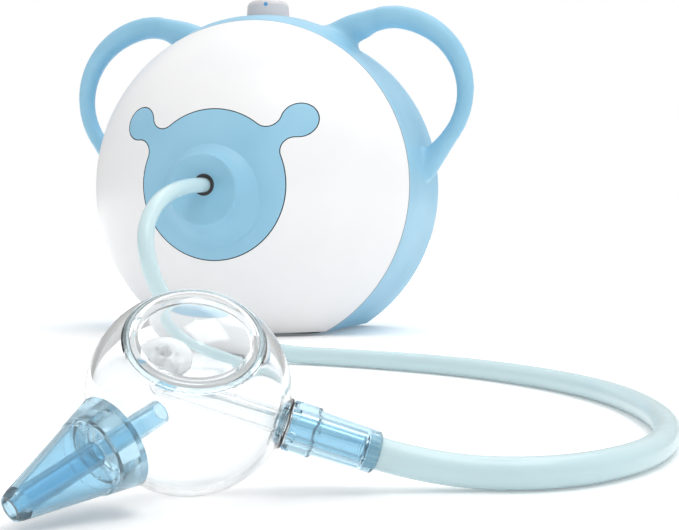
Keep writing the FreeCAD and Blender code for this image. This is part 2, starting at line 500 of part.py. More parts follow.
# ---- air path from the nose to the fan -------------------------------------
FIL_R, FIL_Y0, FIL_Y1 = 20.0, -60.0, -40.0
GROM_Y0, GROM_Y1 = FAN_Y - 9.0, FAN_Y - 5.0
save("inlet_grommet", on_y(SNOUT_BORE, 10.0, GROM_Y0, GROM_Y1))
fh = on_y(FIL_R, FIL_R - 1.8, FIL_Y0, FIL_Y1).fuse(on_y(FIL_R, 0, FIL_Y1 - 2, FIL_Y1)).fuse(
    on_y(10.0, 0, FIL_Y1 - 1, GROM_Y1))
save("filter_housing", fh.cut(on_y(8.2, 0, FIL_Y1 - 5, GROM_Y1 + 1)).removeSplitter())
cap = on_y(FIL_R + 1.8, FIL_R, FIL_Y0 - 2, FIL_Y0 + 5).fuse(on_y(FIL_R + 1.8, 0, FIL_Y0 - 2, FIL_Y0)).fuse(
    on_y(5.0, 0, FIL_Y0 - 13, FIL_Y0 - 1))
save("filter_cap", cap.cut(on_y(3.2, 0, FIL_Y0 - 14, FIL_Y0 + 1)).removeSplitter())
save("filter_disc", on_y(FIL_R - 1.8, 0, FIL_Y0 + 1.0, FIL_Y1 - 4.0))
save("intake_tube", on_y(7.0, 5.0, FLANGE_Y + 2.3, FIL_Y0 - 2.3))
FOAM = (44.0, 5.8)
foam = box(-FOAM[0], FOAM[0], YB - WALL - FOAM[1], YB - WALL, BODY_Z + 36, BODY_Z + 70)
save("muffler_foam", foam)

# ---- electronics on the floor of the housing -------------------------------
BT = 1.6
TOP = BOARD_Z + BT
board = box(-BOARD_X, BOARD_X, BOARD_Y[0], BOARD_Y[1], BOARD_Z, TOP)
for x, y in BOARD_POSTS:
    board = board.cut(Part.makeCylinder(1.2, 9, V(x, y, BOARD_Z - 3)))
save("circuit_board", board)
bs = [turned([(0, -7), (1.2, -7), (1.2, 0), (2.6, 0), (2.6, 1.2), (1.8, 1.9), (0, 1.9)], V(x, y, TOP))
      for x, y in BOARD_POSTS]
save("board_screws", Part.makeCompound(bs))
capacitor = box(-36, -18, -12, 14, TOP, TOP + 14.0)
save("film_capacitor", capacitor.makeFillet(1.2, [e for e in capacitor.Edges if e.CenterOfMass.z > TOP + 1]))
choke = Part.makeTorus(6.6, 3.0, V(-2, 6, TOP + 3.2), V(0, 0, 1))
save("mains_choke", choke.fuse(tube(3.4, 0, TOP, TOP + 1.2, V(-2, 6, 0))).fuse(
    box(-9.5, 5.5, 3, 9, TOP, TOP + 1.2)))
fins = box(14, 18, -18, 12, TOP, TOP + 20)
for k in range(6):
    fins = fins.fuse(box(17.5, 27.0, -18 + k * 5.6, -16.4 + k * 5.6, TOP, TOP + 20))
save("heatsink", fins.removeSplitter())
save("triac", box(9.4, 14, -8, 2.4, TOP + 3, TOP + 18).fuse(box(11, 11.8, -6.4, -5.6, TOP, TOP + 3.5)).fuse(
    box(11, 11.8, -3.2, -2.4, TOP, TOP + 3.5)).fuse(box(11, 11.8, 0.0, 0.8, TOP, TOP + 3.5)))
save("fuse_link", tube(2.6, 0, -11, 11, V(-2, -17, TOP + 4.2), V(1, 0, 0)).fuse(
    box(-11, -6, -19.2, -14.8, TOP, TOP + 3.0)).fuse(box(2, 7, -19.2, -14.8, TOP, TOP + 3.0)))
tb = box(-12, 12, 16, 25, TOP, TOP + 10)
for k in range(4):
    tb = tb.cut(box(-10.6 + k * 5.6, -6.2 + k * 5.6, 20.0, 26, TOP + 2, TOP + 7))
    tb = tb.cut(Part.makeCylinder(1.7, 4, V(-8.4 + k * 5.6, 19.6, TOP + 7)))
save("terminal_block", tb)

# ---- mains inlet, with its two pins ----------------------------------------
body = box(-INLET_W / 2, INLET_W / 2, YB - 18, YB, INLET_Z - INLET_H / 2, INLET_Z + INLET_H / 2)
flange = box(-INLET_W / 2 - 4, INLET_W / 2 + 4, YB, YB + 2.2, INLET_Z - INLET_H / 2 - 3, INLET_Z + INLET_H / 2 + 3)
flange = flange.makeFillet(3.0, [e for e in flange.Edges if abs(e.Length - 2.2) < 1e-6])
figure = on_y(4.4, 0, YB - 12, YB + 3, -4.3, INLET_Z).fuse(on_y(4.4, 0, YB - 12, YB + 3, 4.3, INLET_Z)).fuse(
    box(-4.3, 4.3, YB - 12, YB + 3, INLET_Z - 3.4, INLET_Z + 3.4))
socket = body.fuse(flange).cut(figure)
for x in (-4.3, 4.3):
    socket = socket.cut(on_y(1.2, 0, YB - 20, YB, x, INLET_Z))
save("inlet_socket", socket.removeSplitter())
save("inlet_pins", Part.makeCompound([on_y(1.2, 0, YB - 22, YB - 2.5, x, INLET_Z) for x in (-4.3, 4.3)]))

# ---- speed dial ------------------------------------------------------------
DIAL_Z = BODY_Z + 88.0                   # top face of the dial bracket plate
inner = rim_cone(WALL, YF + 5, YR - 1)
bracket = box(-23, 23, EAR_Y - 12, EAR_Y + 12, DIAL_Z - 2, DIAL_Z).fuse(
    box(-23, -19, EAR_Y - 12, EAR_Y + 12, DIAL_Z - 1, DIAL_Z + 20)).fuse(
    box(19, 23, EAR_Y - 12, EAR_Y + 12, DIAL_Z - 1, DIAL_Z + 20)).common(inner)
save("dial_bracket", bracket.cut(tube(3.6, 0, 100, 250, V(0, EAR_Y, 0))).removeSplitter())
pot = tube(8.5, 0, DIAL_Z - 12, DIAL_Z - 2, V(0, EAR_Y, 0)).fuse(
    tube(3.6, 0, DIAL_Z - 3, DIAL_Z + 5, V(0, EAR_Y, 0)))
pot = pot.fuse(box(-6, 6, EAR_Y - 14, EAR_Y, DIAL_Z - 10, DIAL_Z - 6))
save("potentiometer", pot.cut(tube(SHAFT_R + RUN, 0, DIAL_Z - 10.0, DIAL_Z + 9, V(0, EAR_Y, 0))).removeSplitter())
save("dial_nut", hexagon(11.0, DIAL_Z, DIAL_Z + 2.4, V(0, EAR_Y, 0), V(0, 0, 1)).cut(
    tube(3.6, 0, DIAL_Z - 1, DIAL_Z + 9, V(0, EAR_Y, 0))))
KNOB_Z0 = CROWN_TOP + 0.5
KNOB_TOP = KNOB_Z0 + KNOB_H
SHAFT_TOP = KNOB_TOP - 2.4
dshaft = tube(SHAFT_R, 0, DIAL_Z - 9.6, SHAFT_TOP, V(0, EAR_Y, 0))
dshaft = dshaft.cut(box(-9, 9, EAR_Y + 1.6, EAR_Y + 9, KNOB_Z0 + 1, KNOB_TOP + 5))
save("dial_shaft", dshaft)
knob = turned([(0, KNOB_Z0), (KNOB_R, KNOB_Z0), (KNOB_R - 0.5, KNOB_TOP - 4.2),
               ((KNOB_R - 1.7, KNOB_TOP - 1.2), (KNOB_R - 4.6, KNOB_TOP)), (0.0, KNOB_TOP)],
              V(0, EAR_Y, 0))
knob = knob.cut(tube(KNOB_R - 1.9, 5.4, KNOB_Z0 - 1, KNOB_TOP - 4.6, V(0, EAR_Y, 0)))
knob = knob.cut(tube(SHAFT_R, 0, KNOB_Z0 - 2, SHAFT_TOP, V(0, EAR_Y, 0)).cut(
    box(-9, 9, EAR_Y + 1.6, EAR_Y + 9, KNOB_Z0 + 1, KNOB_TOP + 5)))
MARK_DIR = V(sin(radians(11.5)), -cos(radians(11.5)), 0)
mark_at = V(0, EAR_Y, KNOB_TOP - 3.6)
peg = tube(1.3, 0, KNOB_R - 1.4, KNOB_R + 3, mark_at, MARK_DIR)
save("knob_mark", peg.common(knob))
save("control_knob", knob.cut(peg).removeSplitter())

# ---- wires inside ----------------------------------------------------------
leads = []
for sgn in (-1, 1):
    pts = [V(sgn * 4.3, YB - 22.0, INLET_Z), V(sgn * 4.3, YB - 24.8, INLET_Z),
           V(sgn * 8.4, 27.0, TOP + 4.5), V(sgn * 8.4, 20.0, TOP + 4.5)]
    leads.append(swept(pts, 1.0)[0])
save("mains_leads", Part.makeCompound([s for l in leads for s in l.Solids]))

# ---- collector head lying on the floor -------------------------------------
BALL = V(135.4, -460.1, BALL_R + 0.05)
A = V(-0.437, -0.817, -0.376).normalize()      # nozzle axis, out of the bowl
B = V(0.880, 0.347, -0.323).normalize()        # hose axis, out of the bowl
N = V(0.3135, -0.5755, 0.7553).normalize()     # lid axis
MOUTH_R = 16.56                                # radius of the bowl's rim, where the lid sits
LID_H = sqrt(BALL_R ** 2 - MOUTH_R ** 2)       # the lid joint lies this far out along N


def ball_slice(r, h0, h1):
    """The part of a ball of radius r between two heights along the lid axis."""
    at = lambda h: (sqrt(max(r * r - h * h, 0.0)), h)
    mid = (h0 + h1) / 2
    steps = [(0, h0)] + ([at(h0)] if h0 > -r else []) + [(at(mid), at(h1)), (0, h1)]
    return turned(steps, BALL, N)


PORT_R = 8.4
NECK_OUT, NECK_S, PIPE_R, PIPE_BORE = 6.2, BALL_R - 0.05, 3.1, 2.0
VOID_R = BALL_R - BALL_WALL
bowl = ball_slice(BALL_R, -BALL_R, LID_H).fuse(tube(PORT_R, 0, 15, BALL_R + 4.65, BALL, A)).fuse(
    turned([(0, 15), (8.4, NECK_S - 2.1), ((7.1, NECK_S - 1.1), (NECK_OUT, NECK_S)), (0, NECK_S)], BALL, B))
bowl = bowl.cut(ball_slice(VOID_R, -VOID_R, LID_H)).cut(tube(7.0, 0, 10, BALL_R + 8, BALL, A))
bowl = bowl.cut(tube(PIPE_R, 0, 10, 40, BALL, B))
save("collector_bowl", bowl.removeSplitter())
save("lid_gasket", tube(MOUTH_R - 0.36, MOUTH_R - 2.26, LID_H, LID_H + 0.6, BALL, N))
LID_LOW = LID_H + 0.95
edge_out = sqrt(BALL_R ** 2 - LID_LOW ** 2)
mid_out, mid_in = (sin(radians(20)) * BALL_R, cos(radians(20)) * BALL_R), (sin(radians(18)) * VOID_R,
                                                                         cos(radians(18)) * VOID_R)
LIP_R, LIP_T, LIP_DEPTH = 13.5, 1.0, 1.0            # the lid's lip just inside the bowl's mouth
save("bowl_lid", turned([(edge_out, LID_LOW), (mid_out, (0, BALL_R)), (0, VOID_R),
                         (mid_in, (LIP_R - LIP_T, sqrt(VOID_R ** 2 - (LIP_R - LIP_T) ** 2))),
                         (LIP_R - LIP_T, LID_H - LIP_DEPTH), (LIP_R, LID_H - LIP_DEPTH), (LIP_R, LID_LOW)],
                        BALL, N))
PIPE_S, PIPE_END, STUB_H = -6.5, NECK_S + 18.7, 5.0
P_END = BALL + B * PIPE_S
pipe = tube(PIPE_R, 0, PIPE_S, PIPE_END, BALL, B).fuse(Part.makeSphere(PIPE_R, P_END)).fuse(
    tube(PIPE_R, 0, 0, STUB_H, P_END, N))
bore = tube(PIPE_BORE, 0, PIPE_S, PIPE_END + 1, BALL, B).fuse(tube(PIPE_BORE, 0, 0, STUB_H + 1, P_END, N)).fuse(
    Part.makeSphere(PIPE_BORE, P_END))
save("suction_pipe", pipe.cut(bore).removeSplitter())
CAP_H = 9.6
capm = turned([(0, CAP_H), (6.3, CAP_H - 0.9), (6.3, CAP_H - 0.1), ((3.6, CAP_H + 1.0), (1.6, CAP_H + 1.3)),
               (0.4, CAP_H + 3.4), (0, CAP_H + 3.4)], P_END, N)
for k in range(3):
    a = radians(120 * k + 30)
    foot = tube(0.5, 0, STUB_H, CAP_H + 0.2, V(0, 0, 0))
    foot.translate(V(cos(a) * 2.55, sin(a) * 2.55, 0))
    foot.Placement = frame(P_END, N).multiply(foot.Placement)
    capm = capm.fuse(foot)
save("baffle_cap", capm.removeSplitter())

NOZ_S0, NOZ_LEN, NOZ_R0, NOZ_R1 = BALL_R - 0.55, 28.4, 11.4, 3.35
NOZ_S1 = NOZ_S0 + NOZ_LEN
NOZ_STEP = NOZ_S0 + 7.8                         # a fine step runs round the cone here
slope = (NOZ_R1 - NOZ_R0) / (NOZ_S1 - NOZ_S0)


def noz(s, less=0.0):
    return NOZ_R0 + slope * (s - NOZ_S0) - less


socket_r = PORT_R + RUN
s_meet = NOZ_S0 + (socket_r + 1.3 - NOZ_R0) / slope       # the bore runs into the cone's wall here
s_tip = NOZ_S0 + (2.95 + 1.3 - NOZ_R0) / slope
nozzle = turned([(socket_r, NOZ_S0), (NOZ_R0, NOZ_S0), (noz(NOZ_STEP), NOZ_STEP), (noz(NOZ_STEP, 0.35), NOZ_STEP + 0.3),
                 (noz(NOZ_S1 - 1.4, 0.1), NOZ_S1 - 1.4), (noz(NOZ_S1, 0.3), NOZ_S1), (2.15, NOZ_S1), (2.15, 9.5), (2.95, 9.5),
                 (2.95, s_tip), (socket_r, s_meet)], BALL, A)
save("nozzle", nozzle)

# ---- hose connector and the hose -------------------------------------------
CON_S0, CON_COLLAR, CON_S1, HOSE_IN = NECK_S + 0.4, NECK_S + 7.2, NECK_S + 23.1, 3.0
CON_STOP = PIPE_END + 0.6                       # the pipe's socket ends here
con = turned([(PIPE_R + RUN, CON_S0), (5.6, CON_S0), (NECK_OUT, CON_S0 + 0.4), (NECK_OUT, CON_COLLAR),
              (HOSE_R + 1.45, CON_COLLAR + 0.6), (HOSE_R + 1.1, CON_S1 - 0.5), (HOSE_R + 0.65, CON_S1),
              (HOSE_R, CON_S1), (HOSE_R, CON_S1 - HOSE_IN), (HOSE_BORE, CON_S1 - HOSE_IN),
              (HOSE_BORE, CON_S1 + 4.0), (1.7, CON_S1 + 4.0), (1.7, CON_STOP),
              (PIPE_R + RUN, CON_STOP)], BALL, B)
for k in range(6):                     # notches round the collar's front edge
    notch = box(5.0, 8.0, -1.1, 1.1, CON_S0 - 1, CON_S0 + 1.8)
    notch.rotate(V(0, 0, 0), V(0, 0, 1), 60 * k)
    notch.Placement = frame(BALL, B).multiply(notch.Placement)
    con = con.cut(notch)
save("hose_connector", con)

H_END = BALL + B * (CON_S1 - HOSE_IN)
FLOOR_Z = HOSE_R + 0.02
touch = BALL + B * ((BALL.z - FLOOR_Z) / -B.z)
hose_pts = [V(0, FLANGE_Y, AXIS_Z), V(0, -148, AXIS_Z), V(0, -192, 61), V(14, -184, 18), V(62, -183, FLOOR_Z),
            V(112, -191, FLOOR_Z), V(170, -216, FLOOR_Z), V(221, -267, FLOOR_Z), V(245.5, -334, FLOOR_Z),
            V(245, -392, FLOOR_Z), V(223, -432, FLOOR_Z), touch, H_END]
hose, hose_len, radii = swept(hose_pts, HOSE_R, HOSE_BORE)
print("hose length %.1f  arc radii %s" % (hose_len, radii))
print("hose volume %.0f against %.0f" % (hose.Volume, hose_len * pi * (HOSE_R ** 2 - HOSE_BORE ** 2)))
save("suction_hose", hose)

# ---- motor leads -----------------------------------------------------------
ml = []
for sgn in (-1, 1):
    pts = [V(sgn * 8.4, 19.6, TOP + 9.0), V(sgn * 8.4, 19.6, TOP + 20), V(sgn * 38.5, 26, AXIS_Z - 26),
           V(sgn * 39.5, COM_Y0 + 3.4, AXIS_Z), V(sgn * (MF_R + 1.0), COM_Y0 + 3.4, AXIS_Z)]
    ml.append(swept(pts, 0.9)[0])
save("motor_leads", Part.makeCompound([s for l in ml for s in l.Solids]))
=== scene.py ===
import math

import bmesh
import bpy
from mathutils import Matrix, Vector


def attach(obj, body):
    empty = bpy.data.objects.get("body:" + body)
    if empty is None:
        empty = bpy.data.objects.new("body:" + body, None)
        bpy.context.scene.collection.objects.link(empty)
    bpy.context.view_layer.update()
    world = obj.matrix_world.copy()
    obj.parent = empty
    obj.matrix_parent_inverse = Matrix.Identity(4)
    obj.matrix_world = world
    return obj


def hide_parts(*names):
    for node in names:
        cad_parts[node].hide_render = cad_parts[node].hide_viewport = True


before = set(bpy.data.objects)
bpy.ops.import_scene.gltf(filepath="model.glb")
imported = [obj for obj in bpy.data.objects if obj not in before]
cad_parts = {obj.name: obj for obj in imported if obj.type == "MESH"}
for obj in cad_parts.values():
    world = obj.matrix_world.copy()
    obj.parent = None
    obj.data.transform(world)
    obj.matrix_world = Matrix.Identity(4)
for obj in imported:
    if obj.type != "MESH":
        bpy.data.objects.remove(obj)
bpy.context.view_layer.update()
MM = 0.001

# ---- Camera ------------------------------------------------------------------
# A long lens a little above the table, from the side where the hose and the
# collector lie, so the unit stands behind the clear ball.
camera = bpy.data.objects.new("camera", bpy.data.cameras.new("camera"))
bpy.context.scene.collection.objects.link(camera)
camera.location = (0.24416, -0.72816, 0.06329)
camera.rotation_euler = (math.radians(90 - 1.72), 0, math.radians(15.01))
camera.data.lens = 64.45
bpy.context.scene.camera = camera


# ---- Suction hose ------------------------------------------------------------
# Soft translucent silicone tube, 8 mm outside and 5 mm inside. It pushes onto the
# nipple in the nose, hangs down to the table, and runs round to the collector.
class Link:
    """One output of a material's nodes. Plain arithmetic on it adds Math nodes."""

    def __init__(self, tree, socket=None):
        self.tree, self.socket = tree, socket

    def node(self, kind, sockets, out=0, stops=None, **settings):
        made = self.tree.nodes.new("ShaderNode" + kind)
        for key, value in settings.items():
            setattr(made, key, value)
        if stops:
            ramp = made.color_ramp
            while len(ramp.elements) < len(stops):
                ramp.elements.new(0.5)
            for element, (at, colour) in zip(ramp.elements, stops):
                element.position, element.color = at, colour
        for key, value in sockets.items():
            if isinstance(value, Link):
                self.tree.links.new(value.socket, made.inputs[key])
            else:
                made.inputs[key].default_value = value
        return Link(self.tree, made.outputs[out])

    def math(self, operation, *values):
        return self.node("Math", dict(enumerate(values)), operation=operation)

    def __add__(self, other):
        return self.math("ADD", self, other)

    def __mul__(self, other):
        return self.math("MULTIPLY", self, other)

    def __sub__(self, other):
        return self.math("SUBTRACT", self, other)

    def __rsub__(self, other):
        return self.math("SUBTRACT", other, self)

    __radd__, __rmul__ = __add__, __mul__

    def noise(self, size, detail=2.0, rough=0.5):
        """Cloudy value from 0 to 1 whose lumps are about this size in metres."""
        return self.node("TexNoise", {"Vector": self, "Scale": 1 / size,
                                      "Detail": detail, "Roughness": rough})

    def between(self, low, high, values):
        """0 where values are under low, 1 over high, smooth between."""
        return self.node("MapRange", {"Value": values, "From Min": low, "From Max": high},
                         interpolation_type="SMOOTHSTEP")

    def blend(self, share, a, b):
        """Colour a where share is 0 and b where it is 1."""
        return self.node("Mix", {0: share, 6: a, 7: b}, out=2, data_type="RGBA")

    def part(self, axis):
        """One coordinate of a place: 0, 1 or 2."""
        return self.node("SeparateXYZ", {0: self}, out=axis)


def finish(name, **constants):
    """A new material: its place coordinates, its shader, and the shader's fixed values."""
    material = bpy.data.materials.new(name)
    material.use_nodes = True
    tree = material.node_tree
    shader = tree.nodes["Principled BSDF"]
    for key, value in constants.items():
        shader.inputs[key.replace("_", " ")].default_value = value
    place = Link(tree).node("TexCoord", {}, out=3)
    return material, place, shader


def feed(shader, **links):
    """Joins values to the shader's inputs of the same names."""
    for key, link in links.items():
        link.tree.links.new(link.socket, shader.inputs[key.replace("_", " ")])


def bumped(place, height, depth):
    """Surface relief from a height value; depth is its real depth in metres."""
    return place.node("Bump", {"Height": height, "Strength": 1.0, "Distance": depth})


def shown(name, mesh, body, slot, material, *stands_for):
    """Puts a finished mesh or curve in the scene as a piece of the object."""
    piece = bpy.data.objects.new(name, mesh)
    bpy.context.scene.collection.objects.link(piece)
    mesh.materials.append(material)
    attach(piece, body)
    if stands_for:
        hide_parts(*stands_for)
    return piece


def smoothed(shape, name, sharp=32.0):
    """Mesh of a bmesh, smooth except over edges sharper than the angle."""
    for face in shape.faces:
        face.smooth = True
    for edge in shape.edges:
        if len(edge.link_faces) == 2 and edge.calc_face_angle() > math.radians(sharp):
            edge.smooth = False
    mesh = bpy.data.meshes.new(name)
    shape.to_mesh(mesh)
    shape.free()
    return mesh


HOSE_R, HOSE_WALL = 4.05, 1.5
HOSE_ROUTE = [
    (0, -92, 87.2), (0, -148, 87.2), (0, -192, 61), (14, -184, 18),
    (62, -183, 4.07), (112, -191, 4.07), (170, -216, 4.07), (221, -267, 4.07),
    (245.5, -334, 4.07), (245, -392, 4.07), (223, -432, 4.07),
    (190.8, -438.3, 4.07), (174.5, -444.7, 10.05)]

silicone, place, shader = finish(
    "clear_blue_silicone", Transmission_Weight=0.3, IOR=1.41, Coat_Weight=0.2, Coat_Roughness=0.1)
cloud = place.noise(0.035)
grain = place.noise(0.0006, 3.0)
feed(shader,
     Base_Color=place.blend(cloud, (0.80, 0.975, 1.0, 1), (0.73, 0.95, 1.0, 1)),
     Roughness=0.16 + 0.14 * place.noise(0.006),
     Normal=bumped(place, grain, 0.00001))

line = bpy.data.curves.new("hose_line", "CURVE")
line.dimensions = "3D"
route = line.splines.new("NURBS")
route.points.add(len(HOSE_ROUTE) - 1)
for point, at in zip(route.points, HOSE_ROUTE):
    point.co = (*(Vector(at) * MM), 1)
route.order_u = 3
route.use_endpoint_u = True
route.resolution_u = 20
line.bevel_resolution = 8


def settled(thing):
    """Mesh of an object with its modifiers or its curve worked out."""
    bpy.context.view_layer.update()
    return bpy.data.meshes.new_from_object(thing.evaluated_get(bpy.context.evaluated_depsgraph_get()))


def drawn(curve, thickness):
    """Mesh of a curve: a tube of that radius in mm, or only its line where it is 0."""
    curve.bevel_depth = thickness * MM
    thing = bpy.data.objects.new("drawn", curve)
    bpy.context.scene.collection.objects.link(thing)
    mesh = settled(thing)
    bpy.data.objects.remove(thing)
    return mesh


hose_path = [tuple(vertex.co) for vertex in drawn(line, 0).vertices]
tube = bmesh.new()
tube.from_mesh(drawn(line, HOSE_R - HOSE_WALL))
bmesh.ops.reverse_faces(tube, faces=tube.faces)
tube.from_mesh(drawn(line, HOSE_R))
for end in (hose_path[0], hose_path[-1]):
    rims = [edge for edge in tube.edges if edge.is_boundary
            and (edge.verts[0].co - Vector(end)).length < 2 * HOSE_R * MM]
    bmesh.ops.bridge_loops(tube, edges=rims)
bmesh.ops.recalc_face_normals(tube, faces=tube.faces)
hose_mesh = smoothed(tube, "hose")
hose = shown("suction_hose_soft", hose_mesh, "suction_unit", "hose_silicone", silicone,
             "suction_hose")


# ---- Table and studio light ----------------------------------------------------
# A plain white table top under two large soft boxes, one in front and to the right
# and one behind, with white light all round that is stronger from above.
def patch(name, size, at):
    """A flat square in the scene, size from its middle to its side in metres."""
    shape = bmesh.new()
    bmesh.ops.create_grid(shape, x_segments=1, y_segments=1, size=size)
    bmesh.ops.translate(shape, verts=shape.verts, vec=at)
    mesh = bpy.data.meshes.new(name)
    shape.to_mesh(mesh)
    shape.free()
    thing = bpy.data.objects.new(name, mesh)
    bpy.context.scene.collection.objects.link(thing)
    return thing


# Painted light: the table glows with its own emission, faint near the object and strong away from it, so
# the far table reads evenly white and the shadows near the object are lifted.
paper, place, shader = finish("white_table_painted_glow", Roughness=0.75, Emission_Strength=1.0)
away = place.node("VectorMath", {0: place, 1: (0.08, -0.2, 0)}, out=1, operation="DISTANCE")
feed(shader,
     Base_Color=place.blend(place.noise(0.4), (0.93, 0.93, 0.93, 1), (0.95, 0.95, 0.955, 1)),
     Emission_Color=place.blend(place.between(0.25, 0.9, away),
                                (0.13, 0.13, 0.13, 1), (0.6, 0.6, 0.6, 1)))
table = patch("table", 6, (0, 0, -0.0002))
table.data.materials.append(paper)


def soft_box(name, at, aim, size, power):
    """A flat lamp at one place, turned towards another; size in metres, power in watts."""
    lamp = bpy.data.objects.new(name, bpy.data.lights.new(name, "AREA"))
    bpy.context.scene.collection.objects.link(lamp)
    lamp.location = at
    lamp.rotation_euler = (Vector(aim) - Vector(at)).to_track_quat("-Z", "Y").to_euler()
    lamp.data.shape, lamp.data.size, lamp.data.size_y = "RECTANGLE", *size
    lamp.data.energy = power


soft_box("key_box", (0.55, -0.45, 1.35), (0.05, -0.15, 0.08), (0.8, 0.7), 5.6)
soft_box("top_box", (0.2, 0.5, 1.3), (0.05, -0.1, 0.1), (1.2, 0.6), 3.4)
world = bpy.data.worlds.new("studio")
bpy.context.scene.world = world
world.use_nodes = True
sky = Link(world.node_tree).node("TexCoord", {}, out=0)
height, depth = sky.part(2), sky.part(1)
seen = sky.node("LightPath", {}, out=0)
glow = (0.29 + 0.52 * sky.between(-0.1, 0.9, height) + 0.16 * sky.between(-0.6, 0.8, depth)
        + 0.12 * sky.between(-0.9, 0.9, sky.part(0)))
shade = world.node_tree.nodes["Background"]
world.node_tree.links.new(sky.node("Mix", {0: seen, 2: glow, 3: 1.0}, data_type="FLOAT").socket,
                          shade.inputs["Strength"])
shade.inputs["Color"].default_value = (1, 1, 1, 1)
bpy.context.scene.view_settings.view_transform = "Standard"


# ---- White front shell -----------------------------------------------------------
# Domed cover moulded in glossy white ABS. It hooks into the blue housing at the seam,
# and the face panel drops into an opening in its front.
# Colour of painted shade, for the dark seen inside the narrow joints between parts.
PAINTED_GAP_SHADE = (0.035, 0.075, 0.12, 1)


def moulded(name, light, dark, rough, grain_size, grain_depth, painted_shade=None, **constants):
    """Moulded plastic: faint colour clouds, handled patches in the gloss, fine skin.
    Where the mask passed in is 1, the colour is painted shade, the dark seen down narrow joints."""
    material, place, shader = finish(name, **constants)
    cloud = place.noise(0.05, 3.0)
    handled = place.noise(0.018, 4.0, 0.6)
    skin = place.noise(grain_size, 3.0)
    flow = place.noise(0.012, 1.0)
    colour = place.blend(place.between(0.3, 0.7, cloud), light, dark)
    if painted_shade:
        # Painted shade: where the mask is 1, the plastic takes the dark that shade gives inside a joint.
        colour = place.blend(painted_shade(place), colour, PAINTED_GAP_SHADE)
    feed(shader,
         Base_Color=colour,
         Roughness=rough * (0.75 + 0.5 * handled),
         Normal=bumped(place, skin + 0.8 * flow, grain_depth))
    return material


def coated(node, material):
    """Gives a CAD node its finish."""
    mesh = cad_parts[node].data
    mesh.materials.clear()
    mesh.materials.append(material)


def side_wall(place):
    """1 on the walls that stand square to the front, 0 on the faces seen from it."""
    facing = place.node("TexCoord", {}, out=1).part(1)
    return 1.0 - place.between(0.12, 0.25, place.math("ABSOLUTE", facing))


def dome_gap_shade(place):
    """Where painted shade goes: the edges of the opening for the panel, and a softer line along the seam.
    """
    seam = place.between(-0.0328, -0.0325, place.part(1))
    return place.math("MAXIMUM", side_wall(place), 0.75 * seam)


white_abs = moulded("white_gloss_abs", (0.90, 0.90, 0.905, 1), (0.87, 0.875, 0.885, 1),
                    0.34, 0.0008, 0.000006, dome_gap_shade, Coat_Weight=0.12, Coat_Roughness=0.2)
coated("front_shell", white_abs)

# ---- Blue face panel and nose ----------------------------------------------------
# Light-blue ABS panel that clips into the dome. The nose is part of it, with a
# shallow dish round the outlet.
blue_light, blue_dark = (0.315, 0.590, 0.765, 1), (0.265, 0.530, 0.705, 1)
NOSE_MIDDLE, DOME_MIDDLE = (0, -0.1, 0.0843), (0, 0.01087, 0.0887)


def panel_gap_shade(place):
    """Where painted shade goes: the panel's edge and the ledge behind it, clear of the nose."""
    from_nose = place.node("VectorMath", {0: place, 1: NOSE_MIDDLE}, out=1, operation="DISTANCE")
    deep = place.node("VectorMath", {0: place, 1: DOME_MIDDLE}, out=1, operation="DISTANCE")
    hidden = place.math("MAXIMUM", side_wall(place), 1.0 - place.between(0.1068, 0.1074, deep))
    return hidden * place.between(0.037, 0.039, from_nose)


panel_abs = moulded("blue_panel_abs", blue_light, blue_dark, 0.40, 0.0005, 0.000008,
                    panel_gap_shade, Specular_IOR_Level=0.4)
coated("face_panel", panel_abs)

# ---- Blue housing with ear handles, and rear cover ---------------------------------
# A drum in light-blue ABS with a crown for the knob and an ear handle each side,
# run into one another with soft fillets. The rear cover closes it with four screws.
SEAM_R, REAR_R, RIM_Y, BODY_Z, SHELL_WALL = 100.0, 103.8, 32.0, 88.7, 2.8
EAR_Y, EAR_TUBE, EAR_WIDE, EAR_HIGH, EAR_MIDDLE = 8.0, 6.8, 49.0, 46.5, (77.0, 147.3)
EAR_THIN, EAR_SWELL = 0.76, 0.28        # the bar's thickness at the side, and what the top adds
FOOT_IN, FOOT_DOWN = 0.53, 0.848        # direction in which an ear's foot runs to the drum
CROWN_HALF, CROWN_FADE = 36.0, 9.0      # degrees from the top
PAD_TOP = 2.0
BODY_MIDDLE, BACKWARD, UP = Vector((0, 0, BODY_Z)), Vector((0, 1, 0)), Vector((0, 0, 1))
blue_abs = moulded("blue_satin_abs", blue_light, blue_dark, 0.42, 0.0006, 0.000006,
                   Specular_IOR_Level=0.35)


def turned(outline, origin, axis, steps=96):
    """A bmesh turned round an axis from a closed outline of (radius, height) points in mm."""
    shape = bmesh.new()
    points = [shape.verts.new((r * MM, 0, h * MM)) for r, h in outline]
    edges = [shape.edges.new(pair) for pair in zip(points, points[1:] + points[:1])]
    bmesh.ops.spin(shape, geom=points + edges, cent=(0, 0, 0), axis=(0, 0, 1),
                   dvec=(0, 0, 0), angle=math.tau, steps=steps, use_merge=True)
    bmesh.ops.remove_doubles(shape, verts=shape.verts, dist=1e-7)
    bmesh.ops.recalc_face_normals(shape, faces=shape.faces)
    turn = axis.to_track_quat("Z", "Y").to_matrix().to_4x4()
    bmesh.ops.transform(shape, verts=shape.verts,
                        matrix=Matrix.Translation(Vector(origin) * MM) @ turn)
    return shape


